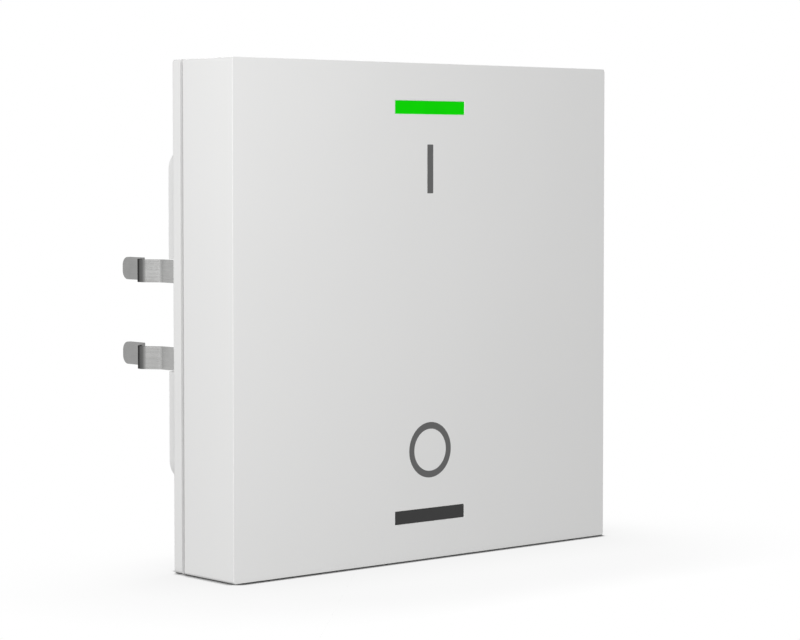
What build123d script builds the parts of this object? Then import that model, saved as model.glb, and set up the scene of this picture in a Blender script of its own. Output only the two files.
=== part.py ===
from build123d import *
import os
from math import acos, degrees, radians, sin, sqrt

os.makedirs("parts", exist_ok=True)

# A square wall pushbutton: one full-face rocker on a shallow flush unit with spring clips.
# Frame: +Z up, the face looks along -Y, the origin is the centre of the flange's bearing plane.
# A level is a distance in front of that plane, and negative levels lie behind it.

# Outline of the whole device
face_size = 55.0
face_corner = 0.3
rocker_depth = 8.6
rocker_groove = 0.5
flange_thickness = 1.5
flange_edge_radius = 0.25
block_depth = 3.2
block_inset = 1.7
block_height = 36.4
block_corner = 2.4
block_edge_radius = 0.3
block_wall = 1.2

# Rocker cover
rocker_front_wall = 1.6
rocker_side_wall = 1.5
rocker_edge_radius = 0.05
rocker_tilt_degrees = 0.7
rib_thickness = 1.0
rib_height = 1.0
rib_spacing = 12.0
cross_rib_offset = 8.0
rib_end_gap = 1.5

# Indicator bars and their light guides
indicator_length = 10.2
indicator_width = 1.45
indicator_inset = 4.88
window_edge_radius = 0.1
guide_gap = 0.03
guide_shoulder_end = 2.75
guide_shoulder_edge = 0.8
guide_shoulder_thickness = 0.8
guide_stem_length = 8.0
guide_stem_width = 1.2
guide_tip_length = 3.2
guide_tip_width = 1.8
stake_radius = 0.5
stake_length = 1.1

# Lamps on the board
led_length = 3.5
led_width = 2.8
led_height = 1.9
led_cup_radius = 1.15
led_cup_depth = 0.8
led_cup_taper_degrees = 20.0
led_gap = 0.2
chimney_clearance = 0.2
chimney_wall = 0.8
chimney_height = 2.4

# Pivot of the rocker
pivot_drop = 1.9
trunnion_radius = 1.2
trunnion_length = 2.5
trunnion_chamfer = 0.25
bearing_gap = 0.05
lug_wall = 0.85
lug_thickness = 1.8
lug_mouth = 2.0
lug_arm = 1.6
lug_side_gap = 0.3
post_inset = 8.0
post_thickness = 1.6
post_half_width = 1.6

# Carrier plate behind the rocker, and the board
rocker_side_clearance = 0.8
carrier_corner = 1.5
carrier_lift = 0.5
carrier_thickness = 1.2
carrier_skirt = 0.6
board_edge_gap = 0.1
board_corner = 1.0
board_lift = 0.7
board_thickness = 1.0

# Tactile switches under the rocker
switch_inset = 13.5
switch_size = 6.0
switch_corner = 0.4
switch_height = 3.5
switch_cover_thickness = 0.25
switch_floor = 0.8
switch_well_radius = 2.6
switch_side_gap = 0.3
plunger_radius = 1.75
plunger_height = 4.3
plunger_gap = 0.1
plunger_play = 0.25
plunger_flange_radius = 2.3
plunger_flange_thickness = 0.7
plunger_nub_radius = 0.8
plunger_edge_radius = 0.2
dome_thickness = 0.08
dome_rise = 0.9
dome_radius = 2.4
dome_gap = 0.02
actuator_radius = 1.5
actuator_gap = 0.05

# Spring clips, given along the middle of the strip
clip_thickness = 0.4
clip_width = 12.0
finger_width = 2.5
clip_leg_inset = 2.15
clip_leg_end = 4.9
clip_peak_inset = 0.55
clip_peak_depth = 7.05
clip_tail_inset = 4.0
clip_tail_depth = 11.0
clip_end_depth = 14.7
clip_fold_radius = 0.3
clip_leg_radius = 0.6
clip_peak_radius = 1.05
clip_tail_radius = 0.8
clip_tip_radius = 0.95
clip_gap = 0.1
clip_flex_room = 0.55
clip_hook_length = 3.1
pocket_side_gap = 0.1

# Bus connection in the rear block
bus_height = -6.0
bus_well_width = 12.4
bus_well_height = 10.8
bus_well_wall = 1.0
bus_well_gap = 0.3
bus_pin_spacing = 5.75
bus_pin_radius = 0.5
bus_pin_recess = 0.3
bus_pin_chamfer = 0.2
bus_tail_size = 0.6
bus_tail_proud = 0.2
bus_tail_gap = 0.1
bus_block_gap = 0.2
bus_block_thickness = 1.0

# Addressing key and lamp in the rear block
key_place = (9.0, 10.0)
key_switch_size = 4.6
key_switch_height = 1.8
key_cover_thickness = 0.15
key_floor = 0.6
key_well_radius = 1.75
key_radius = 1.0
key_gap = 0.25
key_cover_gap = 0.1
key_recess = 0.3
key_flange_radius = 1.5
key_flange_thickness = 0.5
key_flange_gap = 0.05
key_nub_radius = 0.5
key_dome_rise = 0.35
key_dome_radius = 1.5
key_lamp_place = (15.0, 10.0)
key_lamp_length = 2.0
key_lamp_width = 1.25
key_lamp_height = 0.8
key_window_radius = 0.9

# Screws through the rear housing
screw_side_inset = 8.0
screw_end_inset = 4.7
screw_radius = 1.0
screw_head_radius = 1.9
screw_head_thickness = 1.2
screw_head_recess = 0.1
screw_head_gap = 0.2
screw_hole_gap = 0.15
screw_pilot_gap = 0.02
screw_point = 0.5
screw_slot_width = 0.5
screw_slot_length = 2.2
screw_slot_depth = 0.6
screw_boss_radius = 2.8
carrier_boss_radius = 2.2
carrier_boss_height = 1.8
carrier_boss_cap = 0.7

# Components on the back of the board
controller_place = (-9.0, 8.5)
controller_size = 5.0
controller_height = 0.9
transceiver_place = (-13.5, -6.5)
transceiver_size = 6.0
transceiver_height = 0.9
capacitor_place = (13.5, 2.0)
capacitor_length = 7.3
capacitor_width = 4.3
capacitor_height = 2.8
choke_place = (13.5, -7.0)
choke_size = 6.0
choke_corner = 1.5
choke_height = 2.8
choke_core_radius = 2.4
choke_core_step = 0.5
crystal_place = (-3.0, 10.5)
crystal_length = 3.2
crystal_width = 2.5
crystal_height = 0.8
crystal_corner = 0.3
passive_place = (-13.0, 1.5)
passive_pitch_x = 2.8
passive_pitch_z = 2.0
passive_length = 1.6
passive_width = 0.8
passive_height = 0.7
package_edge = 0.15

# Levels from the mounting plane to the face
flange_front = flange_thickness
rocker_back = flange_front + rocker_groove
rocker_front = rocker_back + rocker_depth
rocker_inside = rocker_front - rocker_front_wall
block_back = -block_depth
cavity_floor = block_back + block_wall
board_back = flange_front + board_lift
board_front = board_back + board_thickness
carrier_back = board_front + carrier_lift
carrier_front = carrier_back + carrier_thickness
pivot_level = rocker_inside - pivot_drop
switch_top = board_front + switch_height
switch_rim = switch_top - switch_cover_thickness
plunger_tip = board_front + plunger_height

# Half widths and places across the face
face_half = face_size / 2
block_width = face_size - 2 * block_inset
pocket_floor = face_half - clip_leg_inset - clip_thickness / 2 - clip_flex_room
saddle_wall = pocket_floor - block_wall
pocket_height = clip_width + 2 * pocket_side_gap
carrier_size = face_size - 2 * (rocker_side_wall + rocker_side_clearance)
board_size = carrier_size - 2 * (carrier_skirt + board_edge_gap)
finger_offset = (clip_width - finger_width) / 2
post_offset = face_half - post_inset
screw_offset_x = face_half - screw_side_inset
screw_offset_z = block_height / 2 - screw_end_inset
screw_places = [(x * screw_offset_x, z * screw_offset_z) for x in (-1, 1) for z in (-1, 1)]
indicator_offset = face_half - indicator_inset
indicator_places = [(0, indicator_offset), (0, -indicator_offset)]
switch_offset = face_half - switch_inset
switch_places = [(0, switch_offset), (0, -switch_offset)]
bus_pin_places = [(x * bus_pin_spacing / 2, bus_height) for x in (-1, 1)]
stake_offset = (indicator_length + guide_shoulder_end) / 2
chimney_length = guide_stem_length + 2 * chimney_clearance
chimney_width = led_width + 2 * chimney_clearance


def level(forward):
    """The plane parallel to the face that lies this far in front of the mounting plane."""
    return Plane.XZ.offset(forward)


def slab(width, height, back, front, corner=0.0, places=((0, 0),), mode=Mode.ADD):
    """Plates, walls or pockets parallel to the face, between two levels."""
    with BuildSketch(level(back)) as outline:
        with Locations(*places):
            if corner > 0:
                RectangleRounded(width, height, corner)
            else:
                Rectangle(width, height)
    extrude(outline.sketch, amount=front - back, mode=mode)


def rod(radius, back, front, places=((0, 0),), mode=Mode.ADD):
    """Round posts or holes square to the face, between two levels."""
    with BuildSketch(level(back)) as outline:
        with Locations(*places):
            Circle(radius)
    extrude(outline.sketch, amount=front - back, mode=mode)


def snap_dome(place, base, crown, radius):
    """A thin spherical dome that stands on the base level and bulges towards the crown level."""
    rise = abs(crown - base)
    sphere = (radius**2 + rise**2) / (2 * rise)
    hollow = sphere - dome_thickness
    toward = 1 if crown > base else -1
    middle = (place[0], toward * sphere - crown)
    outer_spread = toward * degrees(acos((sphere - rise) / sphere))
    inner_spread = toward * degrees(acos((sphere - rise) / hollow))
    with BuildSketch(Plane.XY.offset(place[1])) as profile:
        with BuildLine():
            outer = CenterArc(middle, sphere, -90 * toward, outer_spread)
            inner = CenterArc(middle, hollow, -90 * toward, inner_spread)
            Line(outer @ 1, inner @ 1)
            Line(inner @ 0, outer @ 0)
        make_face()
    revolve(profile.sketch, axis=Axis((place[0], 0, place[1]), (0, 1, 0)))


# Rear housing: flange, shallow block, connector well, clip pockets and screw bosses
with BuildPart() as rear_housing:
    slab(face_size, face_size, 0, flange_front, face_corner)
    fillet(rear_housing.faces().sort_by(Axis.Y)[-1].edges(), flange_edge_radius)
    slab(block_width, block_height, block_back, flange_front, block_corner)
    fillet(rear_housing.faces().sort_by(Axis.Y)[-1].edges(), block_edge_radius)
    with BuildSketch(level(cavity_floor)):
        RectangleRounded(
            block_width - 2 * block_wall,
            block_height - 2 * block_wall,
            block_corner - block_wall,
        )
        with Locations((face_half, 0), (-face_half, 0)):
            Rectangle(2 * (face_half - saddle_wall), pocket_height + 2 * block_wall, mode=Mode.SUBTRACT)
    extrude(amount=flange_front - cavity_floor, mode=Mode.SUBTRACT)
    for side in (1, -1):
        pocket = [(side * (pocket_floor + face_half) / 2, 0)]
        slab(face_half - pocket_floor, pocket_height, block_back, 0, places=pocket, mode=Mode.SUBTRACT)
        slots = [(side * (face_half - clip_leg_inset), z * finger_offset) for z in (-1, 1)]
        slab(
            clip_thickness + 2 * clip_gap,
            finger_width + 2 * clip_gap,
            0,
            flange_front,
            places=slots,
            mode=Mode.SUBTRACT,
        )
    slab(
        bus_well_width + 2 * bus_well_wall,
        bus_well_height + 2 * bus_well_wall,
        cavity_floor,
        board_back - bus_well_gap,
        places=[(0, bus_height)],
    )
    slab(
        bus_well_width,
        bus_well_height,
        block_back,
        board_back - bus_well_gap,
        places=[(0, bus_height)],
        mode=Mode.SUBTRACT,
    )
    rod(screw_boss_radius, cavity_floor, board_back, screw_places)
    rod(screw_radius + screw_hole_gap, block_back, board_back, screw_places, Mode.SUBTRACT)
    counterbore = block_back + screw_head_recess + screw_head_thickness
    rod(screw_head_radius + screw_head_gap, block_back, counterbore, screw_places, Mode.SUBTRACT)
    rod(key_radius + key_gap, block_back, cavity_floor, [key_place], Mode.SUBTRACT)
    rod(key_window_radius, block_back, cavity_floor, [key_lamp_place], Mode.SUBTRACT)
rear_housing.part.label = "rear_housing"
export_step(rear_housing.part, "parts/rear_housing.step")

# Circuit board, clamped between the housing's bosses and the carrier's
with BuildPart() as circuit_board:
    slab(board_size, board_size, board_back, board_front, board_corner)
    rod(screw_radius + screw_hole_gap, board_back, board_front, screw_places, Mode.SUBTRACT)
    tail_bore = bus_tail_size / sqrt(2) + bus_tail_gap
    rod(tail_bore, board_back, board_front, bus_pin_places, Mode.SUBTRACT)
circuit_board.part.label = "circuit_board"
export_step(circuit_board.part, "parts/circuit_board.step")

# Carrier: plate with a skirt round the board, pivot posts, light chimneys and screw bosses
with BuildPart() as rocker_carrier:
    slab(carrier_size, carrier_size, flange_front, carrier_front, carrier_corner)
    inside_skirt = carrier_size - 2 * carrier_skirt
    slab(inside_skirt, inside_skirt, flange_front, carrier_back, board_corner, mode=Mode.SUBTRACT)
    slab(face_size, pocket_height, flange_front, board_back, mode=Mode.SUBTRACT)
    rod(carrier_boss_radius, board_front, carrier_front + carrier_boss_height, screw_places)
    pilot_end = carrier_front + carrier_boss_height - carrier_boss_cap
    rod(screw_radius + screw_pilot_gap, board_front, pilot_end, screw_places, Mode.SUBTRACT)
    chimney_top = carrier_front + chimney_height
    slab(
        chimney_length + 2 * chimney_wall,
        chimney_width + 2 * chimney_wall,
        carrier_back,
        chimney_top,
        places=indicator_places,
    )
    slab(
        chimney_length,
        chimney_width,
        carrier_back,
        chimney_top,
        places=indicator_places,
        mode=Mode.SUBTRACT,
    )
    opening = switch_size + 2 * switch_side_gap
    slab(opening, opening, carrier_back, carrier_front, places=switch_places, mode=Mode.SUBTRACT)
    for side in (1, -1):
        with BuildSketch(Plane.YZ.offset(side * (post_offset - post_thickness / 2))):
            with Locations((-pivot_level, 0)):
                Circle(post_half_width)
            with Locations((-(pivot_level + carrier_front) / 2, 0)):
                Rectangle(pivot_level - carrier_front, 2 * post_half_width)
        extrude(amount=post_thickness / 2, both=True)
        with BuildSketch(Plane.YZ.offset(side * post_offset)):
            with Locations((-pivot_level, 0)):
                Circle(trunnion_radius)
        extrude(amount=side * trunnion_length)
        trunnion_end = rocker_carrier.faces(Select.LAST).sort_by(Axis((0, 0, 0), (side, 0, 0)))[-1]
        chamfer(trunnion_end.edges(), trunnion_chamfer)
rocker_carrier.part.label = "rocker_carrier"
export_step(rocker_carrier.part, "parts/rocker_carrier.step")

# Rocker cover: moulded shell with windows, ribs, actuators, stakes and snap-on bearing lugs
with BuildPart() as rocker_cover:
    slab(face_size, face_size, rocker_back, rocker_front, face_corner)
    fillet(rocker_cover.faces().sort_by(Axis.Y)[0].edges(), rocker_edge_radius)
    rocker_bore = face_size - 2 * rocker_side_wall
    slab(rocker_bore, rocker_bore, rocker_back, rocker_inside, face_corner, mode=Mode.SUBTRACT)
    rib_back = rocker_inside - rib_height
    rib_length = 2 * (indicator_offset - indicator_width / 2 - guide_shoulder_edge - rib_end_gap)
    upright_ribs = [(x * rib_spacing, 0) for x in (-1, 0, 1)]
    slab(rib_thickness, rib_length, rib_back, rocker_inside, places=upright_ribs)
    cross_ribs = [(0, cross_rib_offset), (0, -cross_rib_offset)]
    slab(rocker_bore - 2 * rib_end_gap, rib_thickness, rib_back, rocker_inside, places=cross_ribs)
    rod(actuator_radius, plunger_tip + actuator_gap, rocker_inside, switch_places)
    stake_places = [(x * stake_offset, z) for x in (-1, 1) for _, z in indicator_places]
    rod(stake_radius, rocker_inside - stake_length, rocker_inside, stake_places)
    lug_middle = post_offset + lug_side_gap + lug_thickness / 2
    lug_radius = trunnion_radius + bearing_gap + lug_wall
    for side in (1, -1):
        with BuildSketch(Plane.YZ.offset(side * lug_middle)):
            with Locations((-pivot_level, 0)):
                Circle(lug_radius)
            with Locations((-(pivot_level + rocker_inside) / 2, 0)):
                Rectangle(rocker_inside - pivot_level, 2 * lug_radius)
            with Locations((-pivot_level, 0)):
                Circle(trunnion_radius + bearing_gap, mode=Mode.SUBTRACT)
            with Locations((-pivot_level + lug_radius / 2, 0)):
                Rectangle(lug_radius, lug_mouth, mode=Mode.SUBTRACT)
            with Locations((-pivot_level + lug_arm + lug_radius / 2, 0)):
                Rectangle(lug_radius, 2 * lug_radius, mode=Mode.SUBTRACT)
        extrude(amount=lug_thickness / 2, both=True)
    slab(
        indicator_length,
        indicator_width,
        rocker_inside,
        rocker_front,
        places=indicator_places,
        mode=Mode.SUBTRACT,
    )
    front_face = rocker_cover.faces().sort_by(Axis.Y)[0]
    fillet(front_face.inner_wires().edges(), window_edge_radius)
rocker_cover.part.label = "rocker_cover"
export_step(rocker_cover.part, "parts/rocker_cover.step")

# Indicators: a lamp on the board and a light guide in the rocker, above and below
led_top = board_front + led_height
guide_end = led_top + led_gap + (indicator_offset + guide_tip_width) * sin(radians(rocker_tilt_degrees))
shoulder_back = rocker_inside - guide_shoulder_thickness
for name, place in zip(("upper", "lower"), indicator_places):
    with BuildPart() as led:
        slab(led_length, led_width, board_front, led_top, places=[place])
        with BuildSketch(level(led_top)):
            with Locations(place):
                Circle(led_cup_radius)
        extrude(amount=-led_cup_depth, taper=led_cup_taper_degrees, mode=Mode.SUBTRACT)
    led.part.label = f"{name}_led"
    export_step(led.part, f"parts/{name}_led.step")

    with BuildPart() as light_guide:
        slab(
            indicator_length - 2 * guide_gap,
            indicator_width - 2 * guide_gap,
            rocker_inside,
            rocker_front,
            places=[place],
        )
        slab(
            indicator_length + 2 * guide_shoulder_end,
            indicator_width + 2 * guide_shoulder_edge,
            shoulder_back,
            rocker_inside,
            places=[place],
        )
        ends = [(x * stake_offset, place[1]) for x in (-1, 1)]
        rod(stake_radius + guide_gap, shoulder_back, rocker_inside, ends, Mode.SUBTRACT)
        with BuildSketch(level(shoulder_back)):
            with Locations(place):
                Rectangle(guide_stem_length, guide_stem_width)
        with BuildSketch(level(guide_end)):
            with Locations(place):
                Rectangle(guide_tip_length, guide_tip_width)
        loft()
    light_guide.part.label = f"{name}_light_guide"
    export_step(light_guide.part, f"parts/{name}_light_guide.step")

# Tactile switches: base, cover plate, snap dome and plunger, above and below
dome_base = board_front + switch_floor
dome_crown = dome_base + dome_rise
flange_level = switch_rim - plunger_play
for name, place in zip(("upper", "lower"), switch_places):
    with BuildPart() as switch_base:
        slab(switch_size, switch_size, board_front, switch_rim, switch_corner, [place])
        rod(switch_well_radius, dome_base, switch_rim, [place], Mode.SUBTRACT)
    switch_base.part.label = f"{name}_switch_base"
    export_step(switch_base.part, f"parts/{name}_switch_base.step")

    with BuildPart() as switch_cover:
        slab(switch_size, switch_size, switch_rim, switch_top, switch_corner, [place])
        rod(plunger_radius + plunger_gap, switch_rim, switch_top, [place], Mode.SUBTRACT)
    switch_cover.part.label = f"{name}_switch_cover"
    export_step(switch_cover.part, f"parts/{name}_switch_cover.step")

    with BuildPart() as dome:
        snap_dome(place, dome_base, dome_crown, dome_radius)
    dome.part.label = f"{name}_snap_dome"
    export_step(dome.part, f"parts/{name}_snap_dome.step")

    with BuildPart() as plunger:
        rod(plunger_radius, flange_level, plunger_tip, [place])
        fillet(plunger.faces().sort_by(Axis.Y)[0].edges(), plunger_edge_radius)
        rod(plunger_flange_radius, flange_level - plunger_flange_thickness, flange_level, [place])
        rod(plunger_nub_radius, dome_crown + dome_gap, flange_level - plunger_flange_thickness, [place])
    plunger.part.label = f"{name}_plunger"
    export_step(plunger.part, f"parts/{name}_plunger.step")

# Spring clips: one folded strip a side, hooked over the pocket's wall, with two fingers
for name, side in (("right", 1), ("left", -1)):
    hook = side * (saddle_wall - clip_gap - clip_thickness / 2)
    leg = side * (face_half - clip_leg_inset)
    fold = -flange_front - clip_thickness / 2
    tail = side * (face_half - clip_tail_inset)
    with BuildPart() as clip:
        with BuildLine() as strip:
            FilletPolyline(
                (hook, clip_hook_length - flange_front),
                (hook, fold),
                (leg, fold),
                (leg, clip_leg_end),
                (side * (face_half - clip_peak_inset), clip_peak_depth),
                (tail, clip_tail_depth),
                (tail, clip_end_depth),
                radius=[
                    clip_fold_radius,
                    clip_fold_radius,
                    clip_leg_radius,
                    clip_peak_radius,
                    clip_tail_radius,
                ],
            )
        with BuildSketch(Plane(strip.line @ 0, x_dir=(0, 0, 1), z_dir=strip.line % 0)):
            Rectangle(clip_width, clip_thickness)
        sweep(path=strip.line)
        with BuildSketch(level(flange_front)):
            with Locations(((leg + side * face_half) / 2, 0)):
                Rectangle(face_half, clip_width - 2 * finger_width)
        extrude(amount=-clip_end_depth - flange_front, mode=Mode.SUBTRACT)
        fillet(clip.edges().filter_by(Axis.X).group_by(Axis.Y)[-1], clip_tip_radius)
    clip.part.label = f"{name}_retaining_clip"
    export_step(clip.part, f"parts/{name}_retaining_clip.step")

# Bus connection: pin block on the back of the board and two round pins
bus_block_back = board_back - bus_block_thickness
with BuildPart() as bus_pin_block:
    slab(
        bus_well_width - 2 * bus_block_gap,
        bus_well_height - 2 * bus_block_gap,
        bus_block_back,
        board_back,
        places=[(0, bus_height)],
    )
    tail_hole = bus_tail_size + 2 * bus_tail_gap
    slab(tail_hole, tail_hole, bus_block_back, board_back, places=bus_pin_places, mode=Mode.SUBTRACT)
bus_pin_block.part.label = "bus_pin_block"
export_step(bus_pin_block.part, "parts/bus_pin_block.step")

for name, place in zip(("negative", "positive"), bus_pin_places):
    with BuildPart() as bus_pin:
        rod(bus_pin_radius, block_back + bus_pin_recess, bus_block_back, [place])
        chamfer(bus_pin.faces().sort_by(Axis.Y)[-1].edges(), bus_pin_chamfer)
        slab(bus_tail_size, bus_tail_size, bus_block_back, board_front + bus_tail_proud, places=[place])
    bus_pin.part.label = f"bus_pin_{name}"
    export_step(bus_pin.part, f"parts/bus_pin_{name}.step")

# Addressing key: a low switch on the back of the board with a long button through the housing
key_back = board_back - key_switch_height
key_rim = key_back + key_cover_thickness
key_dome_base = board_back - key_floor
key_dome_crown = key_dome_base - key_dome_rise
key_flange_back = key_rim + key_flange_gap
key_flange_front = key_flange_back + key_flange_thickness
with BuildPart() as key_base:
    slab(key_switch_size, key_switch_size, key_rim, board_back, switch_corner, [key_place])
    rod(key_well_radius, key_rim, key_dome_base, [key_place], Mode.SUBTRACT)
key_base.part.label = "programming_switch_base"
export_step(key_base.part, "parts/programming_switch_base.step")

with BuildPart() as key_cover:
    slab(key_switch_size, key_switch_size, key_back, key_rim, switch_corner, [key_place])
    rod(key_radius + key_cover_gap, key_back, key_rim, [key_place], Mode.SUBTRACT)
key_cover.part.label = "programming_switch_cover"
export_step(key_cover.part, "parts/programming_switch_cover.step")

with BuildPart() as key_dome:
    snap_dome(key_place, key_dome_base, key_dome_crown, key_dome_radius)
key_dome.part.label = "programming_snap_dome"
export_step(key_dome.part, "parts/programming_snap_dome.step")

with BuildPart() as key_button:
    rod(key_radius, block_back + key_recess, key_flange_back, [key_place])
    fillet(key_button.faces().sort_by(Axis.Y)[-1].edges(), plunger_edge_radius)
    rod(key_flange_radius, key_flange_back, key_flange_front, [key_place])
    rod(key_nub_radius, key_flange_front, key_dome_crown - dome_gap, [key_place])
key_button.part.label = "programming_button"
export_step(key_button.part, "parts/programming_button.step")

with BuildPart() as key_lamp:
    slab(key_lamp_length, key_lamp_width, board_back - key_lamp_height, board_back, places=[key_lamp_place])
    fillet(key_lamp.edges().filter_by(Axis.Y), package_edge)
key_lamp.part.label = "programming_led"
export_step(key_lamp.part, "parts/programming_led.step")

# Components on the back of the board
with BuildPart() as controller:
    slab(
        controller_size,
        controller_size,
        board_back - controller_height,
        board_back,
        package_edge,
        [controller_place],
    )
    chamfer(controller.faces().sort_by(Axis.Y)[-1].edges(), package_edge)
controller.part.label = "controller_chip"
export_step(controller.part, "parts/controller_chip.step")

with BuildPart() as transceiver:
    slab(
        transceiver_size,
        transceiver_size,
        board_back - transceiver_height,
        board_back,
        package_edge,
        [transceiver_place],
    )
    chamfer(transceiver.faces().sort_by(Axis.Y)[-1].edges(), package_edge)
transceiver.part.label = "bus_transceiver_chip"
export_step(transceiver.part, "parts/bus_transceiver_chip.step")

with BuildPart() as capacitor:
    slab(
        capacitor_length,
        capacitor_width,
        board_back - capacitor_height,
        board_back,
        package_edge,
        [capacitor_place],
    )
    chamfer(capacitor.faces().sort_by(Axis.Y)[-1].edges(), package_edge)
capacitor.part.label = "storage_capacitor"
export_step(capacitor.part, "parts/storage_capacitor.step")

with BuildPart() as choke:
    choke_shoulder = board_back - choke_height + choke_core_step
    slab(choke_size, choke_size, choke_shoulder, board_back, choke_corner, [choke_place])
    rod(choke_core_radius, board_back - choke_height, choke_shoulder, [choke_place])
choke.part.label = "choke"
export_step(choke.part, "parts/choke.step")

with BuildPart() as crystal:
    slab(
        crystal_length,
        crystal_width,
        board_back - crystal_height,
        board_back,
        crystal_corner,
        [crystal_place],
    )
    fillet(crystal.faces().sort_by(Axis.Y)[-1].edges(), package_edge)
crystal.part.label = "crystal"
export_step(crystal.part, "parts/crystal.step")

with BuildPart() as passives:
    columns = [passive_place[0] + x * passive_pitch_x for x in (-1.5, -0.5, 0.5, 1.5)]
    rows = [passive_place[1] + z * passive_pitch_z for z in (-0.5, 0.5)]
    passive_places = [(x, z) for x in columns for z in rows]
    slab(passive_length, passive_width, board_back - passive_height, board_back, places=passive_places)
passives.part.label = "chip_passives"
export_step(passives.part, "parts/chip_passives.step")

# Four screws from the back into the carrier's bosses
with BuildPart() as screws:
    head_back = block_back + screw_head_recess
    head_front = head_back + screw_head_thickness
    screw_end = pilot_end - screw_point
    rod(screw_radius, head_front, screw_end, screw_places)
    chamfer(screws.faces().filter_by(Axis.Y).group_by(Axis.Y)[0].edges(), screw_point)
    rod(screw_head_radius, head_back, head_front, screw_places)
    recess = head_back + screw_slot_depth
    slab(screw_slot_length, screw_slot_width, head_back, recess, places=screw_places, mode=Mode.SUBTRACT)
    slab(screw_slot_width, screw_slot_length, head_back, recess, places=screw_places, mode=Mode.SUBTRACT)
screws.part.label = "housing_screws"
export_step(screws.part, "parts/housing_screws.step")
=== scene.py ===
import math

import bpy
from bpy.props import FloatProperty, FloatVectorProperty, IntProperty, PointerProperty
from bpy.types import Operator, Panel, PropertyGroup
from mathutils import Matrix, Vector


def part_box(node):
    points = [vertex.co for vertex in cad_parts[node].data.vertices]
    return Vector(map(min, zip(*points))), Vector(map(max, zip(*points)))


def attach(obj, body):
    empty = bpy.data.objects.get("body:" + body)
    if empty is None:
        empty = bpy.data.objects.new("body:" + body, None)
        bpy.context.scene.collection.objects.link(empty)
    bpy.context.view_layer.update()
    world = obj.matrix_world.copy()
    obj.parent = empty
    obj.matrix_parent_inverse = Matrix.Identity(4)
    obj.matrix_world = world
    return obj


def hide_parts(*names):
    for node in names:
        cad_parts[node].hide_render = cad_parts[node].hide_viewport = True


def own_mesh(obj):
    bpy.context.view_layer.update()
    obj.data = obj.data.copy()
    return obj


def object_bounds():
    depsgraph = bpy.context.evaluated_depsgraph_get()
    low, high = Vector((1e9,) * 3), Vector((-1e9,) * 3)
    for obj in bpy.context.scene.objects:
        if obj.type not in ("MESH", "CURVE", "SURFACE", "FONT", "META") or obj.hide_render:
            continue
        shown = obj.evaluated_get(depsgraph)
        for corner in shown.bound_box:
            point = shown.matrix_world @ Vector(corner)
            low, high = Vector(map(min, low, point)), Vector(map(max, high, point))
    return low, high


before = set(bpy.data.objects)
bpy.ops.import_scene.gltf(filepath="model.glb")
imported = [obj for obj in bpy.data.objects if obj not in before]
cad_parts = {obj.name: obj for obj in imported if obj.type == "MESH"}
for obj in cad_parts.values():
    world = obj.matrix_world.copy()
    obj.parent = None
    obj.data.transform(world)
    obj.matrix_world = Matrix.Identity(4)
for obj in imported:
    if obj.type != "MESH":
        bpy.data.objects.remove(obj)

bl_info = {
    "name": "Wall Pushbutton Dresser",
    "version": (1, 0, 0),
    "blender": (4, 5, 0),
    "location": "View3D > Sidebar > Pushbutton",
    "description": "Prints the marks, finishes every part and lights a square wall pushbutton",
    "category": "Object",
}

# Places taken from the frame, in metres
CAD_LOW, CAD_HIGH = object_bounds()
FACE_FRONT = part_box("rocker_cover")[0].y
BLOCK_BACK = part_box("rear_housing")[1].y
SOCKET_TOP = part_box("bus_pin_block")[1].z

# Turn that stands a flat primitive upright, parallel to the face
UPRIGHT = (math.radians(90), 0, 0)

# Fineness of the printed marks
CORNER_SEGMENTS = 3
RING_VERTICES = 128

# Each polarity sign, its pin, and whether it has an upright stroke
POLARITY_SIGNS = (
    ("plus_sign", "bus_pin_positive", True),
    ("minus_sign", "bus_pin_negative", False),
)

# Number of stroke widths in a stroke of a sign
SIGN_SQUARES = 3

# Each snap dome, the slide that presses it, and the way it bulges along Y
SNAP_DOMES = (
    ("upper", "upper_plunger_slide", -1),
    ("lower", "lower_plunger_slide", -1),
    ("programming", "programming_button_press", 1),
)

# Distance in metres within which a cut takes a point as lying on its plane
CUT_PRECISION = 1e-7

# Middle part of the noise range, where nearly all of its values lie
NOISE_LOW = 0.3
NOISE_HIGH = 0.7

# Printed ink: size and contrast of its dots, and its range of roughness
INK_DOTS = 0.00012
INK_CONTRAST = 0.06
INK_ROUGH = (0.5, 0.6)

# Lit window: size of the patches, the levels between which its light varies, and its unlit face
LIT_PATCHES = 0.0016
LIT_LEVELS = (0.97, 1.02)
LIT_ROUGH = (0.35, 0.45)
LIT_FACE = (0.001, 0.01, 0.0005, 1.0)
LIT_GLOSS = 0.02

# Painted shade in narrow gaps of the housing: reach and span of openness over which the colour darkens,
# and its level inside
PAINTED_SHADE_REACH = 0.0008
PAINTED_SHADE_SPAN = (0.0, 1.0)
PAINTED_SHADE_LEVEL = 0.76

# Clip strip: size, detail, stretch and depth of its rolling streaks
STREAK_WIDTH = 0.00012
STREAK_DETAIL = 3.0
STREAK_STRETCH = (60.0, 60.0, 1.0)
STREAK_DEPTH = 0.000001

# Clip strip: size and contrast of its patches, range of roughness, and its tint at a grazing angle
STRIP_PATCHES = 0.0014
STRIP_CONTRAST = 0.05
STRIP_ROUGH = (0.24, 0.36)
STRIP_GRAZING = (0.4, 0.4, 0.4, 1.0)

# Upright share of a normal beyond which a face of the strip is a sheared edge
SHEARED_FACING = 0.7

# Painted reflection on the clip strip: tints of its leg and tail, and those round its bend by the
# distance behind the mounting plane
LEG_REFLECTION_TINT = 0.94
TAIL_REFLECTION_TINT = 0.73
BEND_REFLECTION_TINTS = (
    (0.0047, LEG_REFLECTION_TINT),
    (0.0051, 0.8),
    (0.0062, 0.8),
    (0.0066, 0.3),
    (0.0070, 0.23),
    (0.0072, 0.1),
    (0.0079, 0.1),
    (0.0087, TAIL_REFLECTION_TINT),
)

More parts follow.
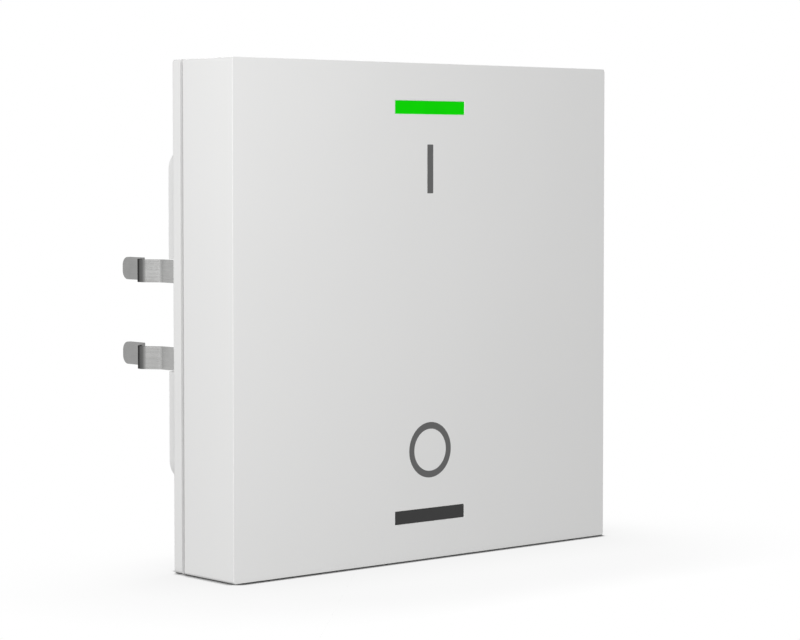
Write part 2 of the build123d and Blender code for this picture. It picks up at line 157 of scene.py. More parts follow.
# Floor shadows: span of openness over which each fades, and the way that the floor looks for it
FRONT_SPAN = (0.78, 1.0)
FRONT_FACING = (0.35, 0.72, 0.6)
SIDE_SPAN = (0.0, 1.0)
CONTACT_SPAN = (0.65, 0.8)
CONTACT_LEVEL = 0.03
CONTACT_FACINGS = ((0.52, 0.854, 0.0), (-0.52, -0.854, 0.0))

# Width of the camera's sensor in millimetres, and the nearest distance that it sees in metres
SENSOR_WIDTH = 36.0
NEAREST_SEEN = 0.01


class PrintSettings(PropertyGroup):
    """Sizes of the two marks printed on the rocker."""

    film: FloatProperty(
        name="Ink film",
        description="How far the dried ink stands proud of the plastic",
        default=0.000012,
        precision=6,
        unit="LENGTH",
    )
    corner: FloatProperty(
        name="Bar corner",
        description="Corner radius of the on bar",
        default=0.00006,
        precision=6,
        unit="LENGTH",
    )
    on_width: FloatProperty(
        name="On bar width",
        description="Width of the upright on bar",
        default=0.00086,
        precision=5,
        unit="LENGTH",
    )
    on_height: FloatProperty(
        name="On bar height",
        description="Height of the upright on bar",
        default=0.0054,
        precision=5,
        unit="LENGTH",
    )
    on_middle: FloatProperty(
        name="On bar place",
        description="Height of the middle of the on bar above the rocker's middle",
        default=0.01585,
        precision=5,
        unit="LENGTH",
    )
    off_outer: FloatProperty(
        name="Off ring outside",
        description="Outer radius of the off ring",
        default=0.00309,
        precision=5,
        unit="LENGTH",
    )
    off_line: FloatProperty(
        name="Off ring line",
        description="Width of the off ring's line",
        default=0.00074,
        precision=6,
        unit="LENGTH",
    )
    off_middle: FloatProperty(
        name="Off ring place",
        description="Height of the middle of the off ring above the rocker's middle",
        default=-0.01537,
        precision=5,
        unit="LENGTH",
    )


class PolaritySettings(PropertyGroup):
    """Sizes of the two polarity signs moulded above the bus socket."""

    size: FloatProperty(
        name="Sign size",
        description="Length of each stroke of a sign",
        default=0.0017,
        precision=5,
        unit="LENGTH",
    )
    height: FloatProperty(
        name="Sign relief",
        description="How far the signs stand proud of the housing",
        default=0.00015,
        precision=6,
        unit="LENGTH",
    )
    gap: FloatProperty(
        name="Sign gap",
        description="Distance between the socket and the middle of the signs",
        default=0.0016,
        precision=5,
        unit="LENGTH",
    )


class DomeSettings(PropertyGroup):
    """Make of the snap domes."""

    sheet: FloatProperty(
        name="Dome sheet",
        description="Thickness of the domes' spring sheet",
        default=0.00008,
        precision=6,
        unit="LENGTH",
    )
    segments: IntProperty(
        name="Dome segments",
        description="Number of faces round a dome",
        default=48,
    )
    rings: IntProperty(
        name="Dome rings",
        description="Number of rings in the sphere that a dome is cut from",
        default=48,
    )


class FinishSettings(PropertyGroup):
    """Colours of the finishes."""

    plastic: FloatVectorProperty(
        name="White plastic",
        description="Colour of the moulded rocker and housing",
        default=(0.79, 0.79, 0.785),
        subtype="COLOR",
    )
    ink: FloatVectorProperty(
        name="Ink",
        description="Colour of the printed marks",
        default=(0.1, 0.1, 0.1),
        subtype="COLOR",
    )
    lit: FloatVectorProperty(
        name="Lit window",
        description="Colour of the light in the upper window",
        default=(0.0022, 0.615, 0.0),
        subtype="COLOR",
    )
    unlit: FloatVectorProperty(
        name="Unlit window",
        description="Colour of the smoked window with its lamp off",
        default=(0.003, 0.003, 0.003),
        subtype="COLOR",
    )
    steel: FloatVectorProperty(
        name="Spring steel",
        description="Colour of the rolled strip",
        default=(0.465, 0.465, 0.46),
        subtype="COLOR",
    )


class StageSettings(PropertyGroup):
    """Camera, floor and light."""

    turn: FloatProperty(
        name="View turn",
        description="How far the camera stands round to the left of the face",
        default=math.radians(41.127),
        subtype="ANGLE",
    )
    tilt: FloatProperty(
        name="View tilt",
        description="How far the camera looks down",
        default=math.radians(2.589),
        subtype="ANGLE",
    )
    distance: FloatProperty(
        name="View distance",
        description="Distance of the camera along its view from the mounting plane's middle",
        default=0.29162,
        precision=5,
        unit="LENGTH",
    )
    sideways: FloatProperty(
        name="View sideways",
        description="How far the camera stands to the right of that line",
        default=0.00362,
        precision=5,
        unit="LENGTH",
    )
    height: FloatProperty(
        name="View height",
        description="Height of the camera above the mounting plane's middle",
        default=0.01636,
        precision=5,
        unit="LENGTH",
    )
    lens: FloatProperty(
        name="Lens",
        description="Focal length on a 36 mm sensor, in millimetres",
        default=115.15,
        unit="CAMERA",
    )
    shift: FloatProperty(
        name="Frame shift",
        description="How far the picture is moved down, as a share of its width",
        default=0.05,
    )
    floor_size: FloatProperty(
        name="Floor size",
        description="Side of the square floor",
        default=6.0,
        unit="LENGTH",
    )
    front_reach: FloatProperty(
        name="Front shadow reach",
        description="How far the soft shadow spreads over the floor in front of the object",
        default=0.028,
        precision=4,
        unit="LENGTH",
    )
    side_reach: FloatProperty(
        name="Side shadow reach",
        description="How far the soft shadow spreads over the floor all round the object",
        default=0.012,
        precision=4,
        unit="LENGTH",
    )
    front_depth: FloatProperty(
        name="Front shadow depth",
        description="Share of the floor's light that a closed-in point loses in front of the object",
        default=0.055,
        subtype="FACTOR",
    )
    side_depth: FloatProperty(
        name="Side shadow depth",
        description="Share of the floor's light that a closed-in point loses beside the object",
        default=0.12,
        subtype="FACTOR",
    )
    contact_reach: FloatProperty(
        name="Contact reach",
        description="How far the dark line of contact reaches over the floor",
        default=0.0016,
        precision=5,
        unit="LENGTH",
    )
    ambient: FloatProperty(
        name="Ambient light",
        description="Strength of the even light from above and all round",
        default=0.3,
    )
    bounce: FloatProperty(
        name="Floor light",
        description="Strength of the even light that the floor throws back on the object",
        default=0.56,
    )
    key_place: FloatVectorProperty(
        name="Key light place",
        description="Where the soft light stands, to the left of the face and a little above it",
        default=(-0.170, -0.141, 0.0875),
        subtype="TRANSLATION",
    )
    light_size: FloatProperty(
        name="Light size",
        description="Side of each square soft light",
        default=0.144,
        unit="LENGTH",
    )
    key_power: FloatProperty(
        name="Key light power",
        description="Power of the soft light",
        default=0.419,
        unit="POWER",
    )
    fill_place: FloatVectorProperty(
        name="Fill light place",
        description="Where the weaker light for the back stands, opposite the key light",
        default=(0.15, 0.19, 0.11),
        subtype="TRANSLATION",
    )
    fill_power: FloatProperty(
        name="Fill light power",
        description="Power of the light for the back",
        default=0.3,
        unit="POWER",
    )


def deselect():
    """Leave object mode with nothing selected."""
    if bpy.context.object and bpy.context.object.mode != "OBJECT":
        bpy.ops.object.mode_set(mode="OBJECT")
    bpy.ops.object.select_all(action="DESELECT")


def name_piece(name):
    """Name the piece that was just added, and its mesh."""
    piece = bpy.context.active_object
    piece.name = name
    piece.data.name = name
    return piece


def apply_place():
    """Move the active piece's place, turn and scale into its mesh."""
    bpy.ops.object.transform_apply(location=True, rotation=True, scale=True)


def thicken_film(film):
    """Give a flat print or sign its thickness, towards the front, or the back where it is negative."""
    bpy.ops.mesh.select_all(action="SELECT")
    bpy.ops.mesh.extrude_region_move(TRANSFORM_OT_translate={"value": (0, -film, 0)})
    bpy.ops.mesh.select_all(action="SELECT")
    bpy.ops.mesh.normals_make_consistent(inside=False)
    bpy.ops.object.mode_set(mode="OBJECT")


def new_finish(name):
    """A material with one Principled surface, and the object coordinates that its patterns read."""
    material = bpy.data.materials.new(name)
    material.use_nodes = True
    tree = material.node_tree
    surface = tree.nodes["Principled BSDF"]
    place = tree.nodes.new("ShaderNodeTexCoord").outputs["Object"]
    return material, tree, surface, place


def grain(tree, place, size, detail=2.0, stretch=(1.0, 1.0, 1.0)):
    """Noise with features about this many metres across, stretched along the given axes."""
    mapping = tree.nodes.new("ShaderNodeMapping")
    mapping.inputs["Scale"].default_value = [1.0 / (size * along) for along in stretch]
    noise = tree.nodes.new("ShaderNodeTexNoise")
    noise.inputs["Scale"].default_value = 1.0
    noise.inputs["Detail"].default_value = detail
    tree.links.new(place, mapping.inputs["Vector"])
    tree.links.new(mapping.outputs["Vector"], noise.inputs["Vector"])
    return noise.outputs["Fac"]


def spread(tree, factor, low, high):
    """Noise mapped to the range from low to high."""
    node = tree.nodes.new("ShaderNodeMapRange")
    node.inputs["From Min"].default_value = NOISE_LOW
    node.inputs["From Max"].default_value = NOISE_HIGH
    node.inputs["To Min"].default_value = low
    node.inputs["To Max"].default_value = high
    tree.links.new(factor, node.inputs["Value"])
    return node.outputs["Result"]


def mix_colours(tree, factor, first, second):
    """Two colours mixed by a factor."""
    node = tree.nodes.new("ShaderNodeMix")
    node.data_type = "RGBA"
    node.inputs["A"].default_value = (*first, 1.0)
    node.inputs["B"].default_value = (*second, 1.0)
    tree.links.new(factor, node.inputs["Factor"])
    return node.outputs["Result"]


def shade(colour, amount):
    """A colour made lighter or darker by a share."""
    return tuple(channel * amount for channel in colour)


def tinted(tree, colours, tint):
    """Colours multiplied by a tint."""
    node = tree.nodes.new("ShaderNodeMix")
    node.data_type = "RGBA"
    node.blend_type = "MULTIPLY"
    node.inputs["Factor"].default_value = 1.0
    tree.links.new(colours, node.inputs["A"])
    tree.links.new(tint, node.inputs["B"])
    return node.outputs["Result"]


def varied(tree, factor, colour, contrast):
    """A colour that noise makes lighter and darker by a contrast."""
    tone = spread(tree, factor, 0.0, 1.0)
    return mix_colours(tree, tone, shade(colour, 1.0 - contrast), shade(colour, 1.0 + contrast))


def openness(tree, reach, span, least):
    """One in the open, falling to the least level over a span of openness to what lies within reach."""
    share = tree.nodes.new("ShaderNodeAmbientOcclusion")
    share.inputs["Distance"].default_value = reach
    level = tree.nodes.new("ShaderNodeMapRange")
    level.inputs["From Min"].default_value = span[0]
    level.inputs["From Max"].default_value = span[1]
    level.inputs["To Min"].default_value = least
    tree.links.new(share.outputs["AO"], level.inputs["Value"])
    return share, level.outputs["Result"]


def relief(tree, surface, height, depth):
    """Surface relief of this depth in metres."""
    bump = tree.nodes.new("ShaderNodeBump")
    bump.inputs["Strength"].default_value = 1.0
    bump.inputs["Distance"].default_value = depth
    tree.links.new(height, bump.inputs["Height"])
    tree.links.new(bump.outputs["Normal"], surface.inputs["Normal"])


def mottled(name, colour, patch, fine, depth, rough, contrast, metal=0.0, stretch=(1.0, 1.0, 1.0)):
    """A finish with patches of uneven tone, a fine relief of some depth, and a range of roughness."""
    material, tree, surface, place = new_finish(name)
    colours = varied(tree, grain(tree, place, patch, stretch=stretch), colour, contrast)
    texture = grain(tree, place, fine, stretch=stretch)
    tree.links.new(colours, surface.inputs["Base Color"])
    tree.links.new(spread(tree, texture, *rough), surface.inputs["Roughness"])
    surface.inputs["Metallic"].default_value = metal
    relief(tree, surface, texture, depth)
    return material


def dress(material, *names):
    """Give CAD nodes a finish."""
    for name in names:
        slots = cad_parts[name].data.materials
        slots.clear()
        slots.append(material)


def printed(piece, material):
    """Give a printed mark its ink and let it ride on the rocker."""
    piece.data.materials.append(material)
    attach(piece, "rocker")


def ink_finish(colour):
    """Matt screen-printing ink with the faint dots of its mesh."""
    material, tree, surface, place = new_finish("printed_ink")
    dots = grain(tree, place, INK_DOTS)
    tree.links.new(varied(tree, dots, colour, INK_CONTRAST), surface.inputs["Base Color"])
    tree.links.new(spread(tree, dots, *INK_ROUGH), surface.inputs["Roughness"])
    return material


class PUSHBUTTON_OT_on_mark(Operator):
    """Print the upright on bar under the lit window"""

    bl_idname = "pushbutton.on_mark"
    bl_label = "On Mark"

    def execute(self, context):
        sizes = context.scene.pushbutton_print
        deselect()
        bpy.ops.mesh.primitive_plane_add(
            size=1.0,
            location=(0, FACE_FRONT, sizes.on_middle),
            rotation=UPRIGHT,
        )
        piece = name_piece("on_mark")
        piece.scale = (sizes.on_width, sizes.on_height, 1.0)
        apply_place()
        bpy.ops.object.mode_set(mode="EDIT")
        bpy.ops.mesh.select_all(action="SELECT")
        bpy.ops.mesh.bevel(offset=sizes.corner, segments=CORNER_SEGMENTS, affect="VERTICES")
        thicken_film(sizes.film)
        printed(piece, ink_finish(context.scene.pushbutton_finish.ink))
        return {"FINISHED"}


class PUSHBUTTON_OT_off_mark(Operator):
    """Print the off ring above the dark window"""

    bl_idname = "pushbutton.off_mark"
    bl_label = "Off Mark"

    def execute(self, context):
        sizes = context.scene.pushbutton_print
        deselect()
        bpy.ops.mesh.primitive_circle_add(
            vertices=RING_VERTICES,
            radius=sizes.off_outer,
            fill_type="NGON",
            location=(0, FACE_FRONT, sizes.off_middle),
            rotation=UPRIGHT,
        )
        piece = name_piece("off_mark")
        apply_place()
        bpy.ops.object.mode_set(mode="EDIT")
        bpy.ops.mesh.select_all(action="SELECT")
        bpy.ops.mesh.inset(thickness=sizes.off_line)
        bpy.ops.mesh.delete(type="FACE")
        thicken_film(sizes.film)
        printed(piece, bpy.data.materials["printed_ink"])
        return {"FINISHED"}


class PUSHBUTTON_OT_mouldings(Operator):
    """Finish the mouldings: white rocker and rear housing, grey carrier"""

    bl_idname = "pushbutton.mouldings"
    bl_label = "Mouldings"

    def execute(self, context):
        white = context.scene.pushbutton_finish.plastic
        satin = mottled(
            "satin_white", white, patch=0.018, fine=0.00011, depth=0.0000015,
            rough=(0.4, 0.48), contrast=0.006,
        )
        matt = mottled(
            "matt_white", shade(white, 1.005), patch=0.012, fine=0.00016, depth=0.000003,
            rough=(0.5, 0.6), contrast=0.01,
        )
        # Painted shade: the housing's colour darkens in narrow gaps, such as the groove beside the
        # rocker.
        self.paint_gap_shade(matt)
        dress(satin, "rocker_cover")
        dress(matt, "rear_housing")
        grey = mottled(
            "carrier_grey", (0.25, 0.25, 0.255), patch=0.009, fine=0.0002, depth=0.000004,
            rough=(0.5, 0.62), contrast=0.03,
        )
        dress(grey, "rocker_carrier")
        return {"FINISHED"}

    def paint_gap_shade(self, material):
        """Paint shade into a finish's colour in narrow gaps, darkening it where other surfaces stand
        close over it.
        """
        tree = material.node_tree
        base = tree.nodes["Principled BSDF"].inputs["Base Color"]
        _, level = openness(tree, PAINTED_SHADE_REACH, PAINTED_SHADE_SPAN, PAINTED_SHADE_LEVEL)
        tree.links.new(tinted(tree, base.links[0].from_socket, level), base)


class PUSHBUTTON_OT_polarity_signs(Operator):
    """Mould the plus and minus signs over the two bus pins"""

    bl_idname = "pushbutton.polarity_signs"
    bl_label = "Polarity Signs"

    def execute(self, context):
        sizes = context.scene.pushbutton_polarity
        for name, pin, upright in POLARITY_SIGNS:
            self.mould(name, pin, upright, sizes)
        return {"FINISHED"}

    def mould(self, name, pin, upright, sizes):
        """Squares above a pin, cut down to the strokes of its sign and raised from the housing."""
        low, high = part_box(pin)
        across = (low.x + high.x) / 2
        level = SOCKET_TOP + sizes.gap
        half_stroke = sizes.size / SIGN_SQUARES / 2
        deselect()
        bpy.ops.mesh.primitive_grid_add(
            x_subdivisions=SIGN_SQUARES,
            y_subdivisions=SIGN_SQUARES,
            size=sizes.size,
            location=(across, BLOCK_BACK, level),
            rotation=UPRIGHT,
        )
        piece = name_piece(name)
        apply_place()
        bpy.ops.object.mode_set(mode="EDIT")
        bpy.ops.mesh.select_mode(type="FACE")
        bpy.ops.mesh.select_all(action="DESELECT")
        bpy.ops.object.mode_set(mode="OBJECT")
        for square in piece.data.polygons:
            off_level = abs(square.center.z - level) > half_stroke
            off_upright = abs(square.center.x - across) > half_stroke
            square.select = off_level and (off_upright or not upright)
        bpy.ops.object.mode_set(mode="EDIT")
        bpy.ops.mesh.delete(type="FACE")
        thicken_film(-sizes.height)
        piece.data.materials.append(bpy.data.materials["matt_white"])
        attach(piece, "housing")


class PUSHBUTTON_OT_windows(Operator):
    """Finish the two light guides: the upper one lit, the lower one dark"""

    bl_idname = "pushbutton.windows"
    bl_label = "Indicator Windows"

    def execute(self, context):
        colours = context.scene.pushbutton_finish
        dress(self.lit_finish(colours.lit), "upper_light_guide")
        smoked = mottled(
            "smoked_window", colours.unlit, patch=0.002, fine=0.00009, depth=0.000001,
            rough=(0.3, 0.38), contrast=0.2,
        )
        dress(smoked, "lower_light_guide")
        return {"FINISHED"}

    def lit_finish(self, colour):
        """Green light that is slightly uneven, as behind a moulded diffuser."""
        material, tree, surface, place = new_finish("lit_window")
        diffusion = spread(tree, grain(tree, place, LIT_PATCHES), 0.0, 1.0)
        glow = mix_colours(tree, diffusion, *(shade(colour, level) for level in LIT_LEVELS))
        tree.links.new(glow, surface.inputs["Emission Color"])
        surface.inputs["Emission Strength"].default_value = 1.0
        surface.inputs["Base Color"].default_value = LIT_FACE
        surface.inputs["Specular IOR Level"].default_value = LIT_GLOSS
        tree.links.new(spread(tree, diffusion, *LIT_ROUGH), surface.inputs["Roughness"])
        return material


class PUSHBUTTON_OT_clips(Operator):
    """Finish the two spring clips as rolled strip"""

    bl_idname = "pushbutton.clips"
    bl_label = "Spring Clips"

    def execute(self, context):
        material = self.strip_finish(context.scene.pushbutton_finish.steel)
        dress(material, "left_retaining_clip", "right_retaining_clip")
        return {"FINISHED"}

    def strip_finish(self, colour):
        """Rolled spring steel with streaks along the strip and a painted reflection on its bend and
        tail.
        """
        material, tree, surface, place = new_finish("rolled_spring_steel")
        streaks = grain(tree, place, STREAK_WIDTH, STREAK_DETAIL, STREAK_STRETCH)
        rolled = varied(tree, grain(tree, place, STRIP_PATCHES), colour, STRIP_CONTRAST)
        # The tint paints a reflection into the colour: a dark band on the outer bend and a darker tail.
        strip = tinted(tree, rolled, self.painted_bend_reflection(tree, place))
        tree.links.new(strip, surface.inputs["Base Color"])
        tree.links.new(spread(tree, streaks, *STRIP_ROUGH), surface.inputs["Roughness"])
        tree.links.new(self.rolled_faces(tree), surface.inputs["Metallic"])
        surface.inputs["Specular IOR Level"].default_value = 0.0
        surface.inputs["Specular Tint"].default_value = STRIP_GRAZING
        relief(tree, surface, streaks, STREAK_DEPTH)
        return material

    def rolled_faces(self, tree):
        """One on the rolled faces, and zero on the upper and lower edges, which are sheared and dull."""
        axes = tree.nodes.new("ShaderNodeSeparateXYZ")
        tree.links.new(tree.nodes.new("ShaderNodeTexCoord").outputs["Normal"], axes.inputs["Vector"])
        upright = tree.nodes.new("ShaderNodeMath")
        upright.operation = "ABSOLUTE"
        tree.links.new(axes.outputs["Z"], upright.inputs[0])
        rolled = tree.nodes.new("ShaderNodeMath")
        rolled.operation = "LESS_THAN"
        rolled.inputs[1].default_value = SHEARED_FACING
        tree.links.new(upright.outputs["Value"], rolled.inputs[0])
        return rolled.outputs["Value"]

    def painted_bend_reflection(self, tree, place):
        """Tint by the distance behind the mounting plane, a painted reflection: clear leg, dark outer
        bend, dull tail.
        """
        axes = tree.nodes.new("ShaderNodeSeparateXYZ")
        tree.links.new(place, axes.inputs["Vector"])
        behind = tree.nodes.new("ShaderNodeMapRange")
        behind.inputs["From Max"].default_value = CAD_HIGH.y
        tree.links.new(axes.outputs["Y"], behind.inputs["Value"])
        ramp = tree.nodes.new("ShaderNodeValToRGB")
        stops = ramp.color_ramp.elements
        for stop, tint in zip(stops, (LEG_REFLECTION_TINT, TAIL_REFLECTION_TINT)):
            stop.color = (tint, tint, tint, 1.0)
        for depth, tint in BEND_REFLECTION_TINTS:
            stops.new(depth / CAD_HIGH.y).color = (tint, tint, tint, 1.0)
        tree.links.new(behind.outputs["Result"], ramp.inputs["Fac"])
        return ramp.outputs["Color"]


class PUSHBUTTON_OT_switches(Operator):
    """Finish the tactile switches, their plungers and the addressing key"""

    bl_idname = "pushbutton.switches"
    bl_label = "Switches"

    def execute(self, context):
        base = mottled(
            "switch_black", (0.02, 0.02, 0.021), patch=0.002, fine=0.00012, depth=0.000003,
            rough=(0.45, 0.6), contrast=0.15,
        )
        plate = mottled(
            "switch_plate", (0.6, 0.6, 0.59), patch=0.001, fine=0.0001, depth=0.000001,
            rough=(0.25, 0.4), contrast=0.06, metal=1.0, stretch=(40.0, 1.0, 1.0),
        )
        plunger = mottled(
            "plunger_brown", (0.09, 0.05, 0.035), patch=0.001, fine=0.0001, depth=0.000002,
            rough=(0.4, 0.5), contrast=0.1,
        )
        key = mottled(
            "key_grey", (0.12, 0.12, 0.125), patch=0.0012, fine=0.0001, depth=0.000002,
            rough=(0.4, 0.5), contrast=0.08,
        )
        dress(base, "upper_switch_base", "lower_switch_base", "programming_switch_base")
        dress(plate, "upper_switch_cover", "lower_switch_cover", "programming_switch_cover")
        dress(plunger, "upper_plunger", "lower_plunger")
        dress(key, "programming_button")
        return {"FINISHED"}


class PUSHBUTTON_OT_snap_domes(Operator):
    """Model the snap domes as thin caps cut from two spheres"""

    bl_idname = "pushbutton.snap_domes"
    bl_label = "Snap Domes"

    def execute(self, context):
        steel = mottled(
            "dome_steel", (0.62, 0.61, 0.59), patch=0.0008, fine=0.00008, depth=0.0000008,
            rough=(0.16, 0.3), contrast=0.05, metal=1.0,
        )
        make = context.scene.pushbutton_domes
        for name, slide, bulge in SNAP_DOMES:
            node = f"{name}_snap_dome"
            dress(steel, node)
            low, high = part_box(node)
            base, crown = (high.y, low.y) if bulge < 0 else (low.y, high.y)
            middle = ((low.x + high.x) / 2, base, (low.z + high.z) / 2)
            rise = high.y - low.y
            sphere = ((high.x - low.x) ** 2 / 4 + rise**2) / (2 * rise)
            centre = (middle[0], crown - bulge * sphere, middle[2])
            piece = self.shell(f"{name}_flexing_dome", centre, sphere, make)
            self.cut(middle, bulge)
            piece.data.materials.append(steel)
            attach(piece, "housing")
            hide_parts(node)
            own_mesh(piece)
        return {"FINISHED"}

    def shell(self, name, centre, radius, make):
        """Two spheres, one inside the other, in one mesh in edit mode."""
        deselect()
        for size in (radius, radius - make.sheet):
            bpy.ops.mesh.primitive_uv_sphere_add(
                segments=make.segments,
                ring_count=make.rings,
                radius=size,
                location=centre,
                rotation=UPRIGHT,
            )
            bpy.ops.object.mode_set(mode="EDIT")
        return name_piece(name)

    def cut(self, middle, bulge):
        """Keep the caps of both spheres beyond the base, join them along the rim and place the dome."""
        bpy.ops.mesh.select_all(action="SELECT")
        bpy.ops.mesh.bisect(
            plane_co=middle,
            plane_no=(0, bulge, 0),
            clear_inner=True,
            threshold=CUT_PRECISION,
        )
        bpy.ops.mesh.select_all(action="DESELECT")
        bpy.ops.mesh.select_mode(type="EDGE")
        bpy.ops.mesh.select_non_manifold()
        bpy.ops.mesh.fill()
        bpy.ops.mesh.select_all(action="SELECT")
        bpy.ops.mesh.normals_make_consistent(inside=False)
        bpy.ops.object.mode_set(mode="OBJECT")
        apply_place()
        bpy.ops.object.shade_smooth_by_angle()


class PUSHBUTTON_OT_electronics(Operator):
    """Finish the board, its lamps and its components"""

    bl_idname = "pushbutton.electronics"
    bl_label = "Electronics"

    def execute(self, context):
        laminate = mottled(
            "green_laminate", (0.015, 0.11, 0.05), patch=0.006, fine=0.0003, depth=0.000004,
            rough=(0.3, 0.42), contrast=0.12,
        )
        lamp = mottled(
            "lamp_ceramic", (0.75, 0.73, 0.66), patch=0.0015, fine=0.0001, depth=0.000001,
            rough=(0.35, 0.5), contrast=0.03,
        )
        chip = mottled(
            "chip_resin", (0.022, 0.022, 0.024), patch=0.001, fine=0.00005, depth=0.000003,
            rough=(0.5, 0.65), contrast=0.2,
        )
        capacitor = mottled(
            "capacitor_resin", (0.55, 0.3, 0.06), patch=0.002, fine=0.00012, depth=0.000002,
            rough=(0.35, 0.5), contrast=0.06,
        )
        ferrite = mottled(
            "ferrite", (0.06, 0.06, 0.065), patch=0.001, fine=0.00008, depth=0.000004,
            rough=(0.5, 0.7), contrast=0.25,
        )
        can = mottled(
            "crystal_can", (0.63, 0.62, 0.58), patch=0.001, fine=0.00008, depth=0.000001,
            rough=(0.2, 0.35), contrast=0.05, metal=1.0, stretch=(30.0, 1.0, 1.0),
        )
        passive = mottled(
            "passive_ceramic", (0.42, 0.33, 0.22), patch=0.0006, fine=0.00006, depth=0.000002,
            rough=(0.35, 0.5), contrast=0.12,
        )
        dress(laminate, "circuit_board")
        dress(lamp, "upper_led", "lower_led", "programming_led")
        dress(chip, "controller_chip", "bus_transceiver_chip")
        dress(capacitor, "storage_capacitor")
        dress(ferrite, "choke")
        dress(can, "crystal")
        dress(passive, "chip_passives")
        return {"FINISHED"}


class PUSHBUTTON_OT_bus_socket(Operator):
    """Finish the bus pins, their block and the housing screws"""

    bl_idname = "pushbutton.bus_socket"
    bl_label = "Bus Socket"

    def execute(self, context):
        block = mottled(
            "pin_block_black", (0.025, 0.025, 0.026), patch=0.002, fine=0.00014, depth=0.000003,
            rough=(0.42, 0.58), contrast=0.12,
        )
        pin = mottled(
            "tinned_pin", (0.72, 0.71, 0.68), patch=0.0008, fine=0.0001, depth=0.0000015,
            rough=(0.22, 0.38), contrast=0.05, metal=1.0,
        )
        screw = mottled(
            "zinc_screw", (0.6, 0.6, 0.61), patch=0.0008, fine=0.00012, depth=0.000002,
            rough=(0.25, 0.42), contrast=0.08, metal=1.0,
        )
        dress(block, "bus_pin_block")
        dress(pin, "bus_pin_negative", "bus_pin_positive")
        dress(screw, "housing_screws")
        return {"FINISHED"}


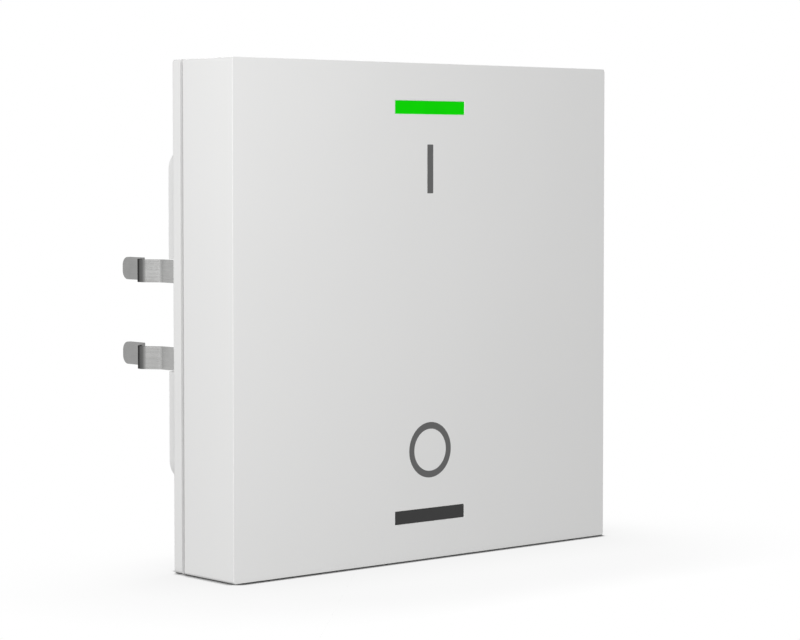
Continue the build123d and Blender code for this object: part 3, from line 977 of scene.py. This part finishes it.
class PUSHBUTTON_OT_stage(Operator):
    """Add the floor, the light and the camera"""

    bl_idname = "pushbutton.stage"
    bl_label = "Stage"

    def execute(self, context):
        settings = context.scene.pushbutton_stage
        context.scene.view_settings.view_transform = "Standard"
        self.add_floor(settings)
        self.light_world(context.scene, settings)
        self.add_light("key_light", settings.key_place, settings.light_size, settings.key_power)
        self.add_light("fill_light", settings.fill_place, settings.light_size, settings.fill_power)
        self.add_camera(context.scene, settings)
        return {"FINISHED"}

    def seen_directly(self, tree):
        """One where a ray from the camera, a gloss or a clear surface meets this."""
        path = tree.nodes.new("ShaderNodeLightPath")
        seen = path.outputs["Is Camera Ray"]
        for kind in ("Is Glossy Ray", "Is Transmission Ray"):
            either = tree.nodes.new("ShaderNodeMath")
            either.operation = "MAXIMUM"
            tree.links.new(seen, either.inputs[0])
            tree.links.new(path.outputs[kind], either.inputs[1])
            seen = either.outputs["Value"]
        return seen

    def add_floor(self, settings):
        """A pale floor under the object."""
        deselect()
        bpy.ops.mesh.primitive_plane_add(size=settings.floor_size, location=(0, 0, CAD_LOW.z))
        floor = name_piece("floor")
        floor.data.materials.append(self.floor_finish(settings))

    def floor_finish(self, settings):
        """Light on the object, and white with the floor's shadows where the floor is seen."""
        material = bpy.data.materials.new("pale_floor")
        material.use_nodes = True
        tree = material.node_tree
        tree.nodes.remove(tree.nodes["Principled BSDF"])
        glow = tree.nodes.new("ShaderNodeEmission")
        glow.inputs["Strength"].default_value = settings.bounce
        white = tree.nodes.new("ShaderNodeEmission")
        tree.links.new(self.floor_shadow(tree, settings), white.inputs["Strength"])
        by_ray = tree.nodes.new("ShaderNodeMixShader")
        tree.links.new(self.seen_directly(tree), by_ray.inputs["Fac"])
        tree.links.new(glow.outputs["Emission"], by_ray.inputs[1])
        tree.links.new(white.outputs["Emission"], by_ray.inputs[2])
        tree.links.new(by_ray.outputs["Shader"], tree.nodes["Material Output"].inputs["Surface"])
        return material

    def floor_shadow(self, tree, settings):
        """A soft shadow in front, one all round, and a dark line of contact on both sides."""
        front_level = 1.0 - settings.front_depth
        side_level = 1.0 - settings.side_depth
        contact = (settings.contact_reach, CONTACT_SPAN, CONTACT_LEVEL)
        shadow = self.closed_in(tree, settings.front_reach, FRONT_SPAN, front_level, FRONT_FACING)
        levels = [self.closed_in(tree, settings.side_reach, SIDE_SPAN, side_level)]
        levels += [self.closed_in(tree, *contact, facing) for facing in CONTACT_FACINGS]
        for level in levels:
            both = tree.nodes.new("ShaderNodeMath")
            both.operation = "MULTIPLY"
            tree.links.new(shadow, both.inputs[0])
            tree.links.new(level, both.inputs[1])
            shadow = both.outputs["Value"]
        return shadow

    def closed_in(self, tree, reach, span, least, facing=(0.0, 0.0, 1.0)):
        """The floor's openness towards one side."""
        share, level = openness(tree, reach, span, least)
        look = tree.nodes.new("ShaderNodeCombineXYZ")
        for socket, along in zip(look.inputs, facing):
            socket.default_value = along
        tree.links.new(look.outputs["Vector"], share.inputs["Normal"])
        return level

    def light_world(self, scene, settings):
        """Even light from all round, and plain white where the background is seen."""
        world = bpy.data.worlds.new("studio")
        scene.world = world
        world.use_nodes = True
        tree = world.node_tree
        light = tree.nodes["Background"]
        light.inputs["Strength"].default_value = settings.ambient
        light.inputs["Color"].default_value = (1.0, 1.0, 1.0, 1.0)
        white = tree.nodes.new("ShaderNodeBackground")
        white.inputs["Color"].default_value = (1.0, 1.0, 1.0, 1.0)
        mix = tree.nodes.new("ShaderNodeMixShader")
        tree.links.new(self.seen_directly(tree), mix.inputs["Fac"])
        tree.links.new(light.outputs["Background"], mix.inputs[1])
        tree.links.new(white.outputs["Background"], mix.inputs[2])
        tree.links.new(mix.outputs["Shader"], tree.nodes["World Output"].inputs["Surface"])

    def add_light(self, name, place, size, power):
        """One large soft light that looks at the middle of the object."""
        deselect()
        bpy.ops.object.light_add(type="AREA", location=place)
        light = name_piece(name)
        light.data.shape = "SQUARE"
        light.data.size = size
        light.data.energy = power
        light.rotation_euler = (-light.location).to_track_quat("-Z", "Y").to_euler()

    def add_camera(self, scene, settings):
        """A camera round to the left of the face, which looks a little down at it."""
        deselect()
        ahead = (math.sin(settings.turn), math.cos(settings.turn))
        across = (math.cos(settings.turn), -math.sin(settings.turn))
        bpy.ops.object.camera_add(
            location=(
                across[0] * settings.sideways - ahead[0] * settings.distance,
                across[1] * settings.sideways - ahead[1] * settings.distance,
                settings.height,
            ),
            rotation=(math.radians(90) - settings.tilt, 0, -settings.turn),
        )
        camera = name_piece("camera")
        camera.data.sensor_width = SENSOR_WIDTH
        camera.data.lens = settings.lens
        camera.data.shift_y = -settings.shift
        camera.data.clip_start = NEAREST_SEEN
        scene.camera = camera


STEPS = (
    PUSHBUTTON_OT_on_mark,
    PUSHBUTTON_OT_off_mark,
    PUSHBUTTON_OT_mouldings,
    PUSHBUTTON_OT_polarity_signs,
    PUSHBUTTON_OT_windows,
    PUSHBUTTON_OT_clips,
    PUSHBUTTON_OT_switches,
    PUSHBUTTON_OT_snap_domes,
    PUSHBUTTON_OT_electronics,
    PUSHBUTTON_OT_bus_socket,
    PUSHBUTTON_OT_stage,
)
SETTINGS = {
    "pushbutton_print": PrintSettings,
    "pushbutton_polarity": PolaritySettings,
    "pushbutton_domes": DomeSettings,
    "pushbutton_finish": FinishSettings,
    "pushbutton_stage": StageSettings,
}


class PUSHBUTTON_PT_steps(Panel):
    """Lists the steps that dress the pushbutton"""

    bl_label = "Wall Pushbutton"
    bl_space_type = "VIEW_3D"
    bl_region_type = "UI"
    bl_category = "Pushbutton"

    def draw(self, context):
        for step in STEPS:
            self.layout.operator(step.bl_idname)


def register():
    for settings in SETTINGS.values():
        bpy.utils.register_class(settings)
    for step in STEPS:
        bpy.utils.register_class(step)
    bpy.utils.register_class(PUSHBUTTON_PT_steps)
    for name, settings in SETTINGS.items():
        setattr(bpy.types.Scene, name, PointerProperty(type=settings))


def unregister():
    for name in SETTINGS:
        delattr(bpy.types.Scene, name)
    bpy.utils.unregister_class(PUSHBUTTON_PT_steps)
    for step in reversed(STEPS):
        bpy.utils.unregister_class(step)
    for settings in SETTINGS.values():
        bpy.utils.unregister_class(settings)


def main():
    register()
    bpy.ops.pushbutton.on_mark()
    bpy.ops.pushbutton.off_mark()
    bpy.ops.pushbutton.mouldings()
    bpy.ops.pushbutton.polarity_signs()
    bpy.ops.pushbutton.windows()
    bpy.ops.pushbutton.clips()
    bpy.ops.pushbutton.switches()
    bpy.ops.pushbutton.snap_domes()
    bpy.ops.pushbutton.electronics()
    bpy.ops.pushbutton.bus_socket()
    bpy.ops.pushbutton.stage()


if __name__ == "__main__":
    main()
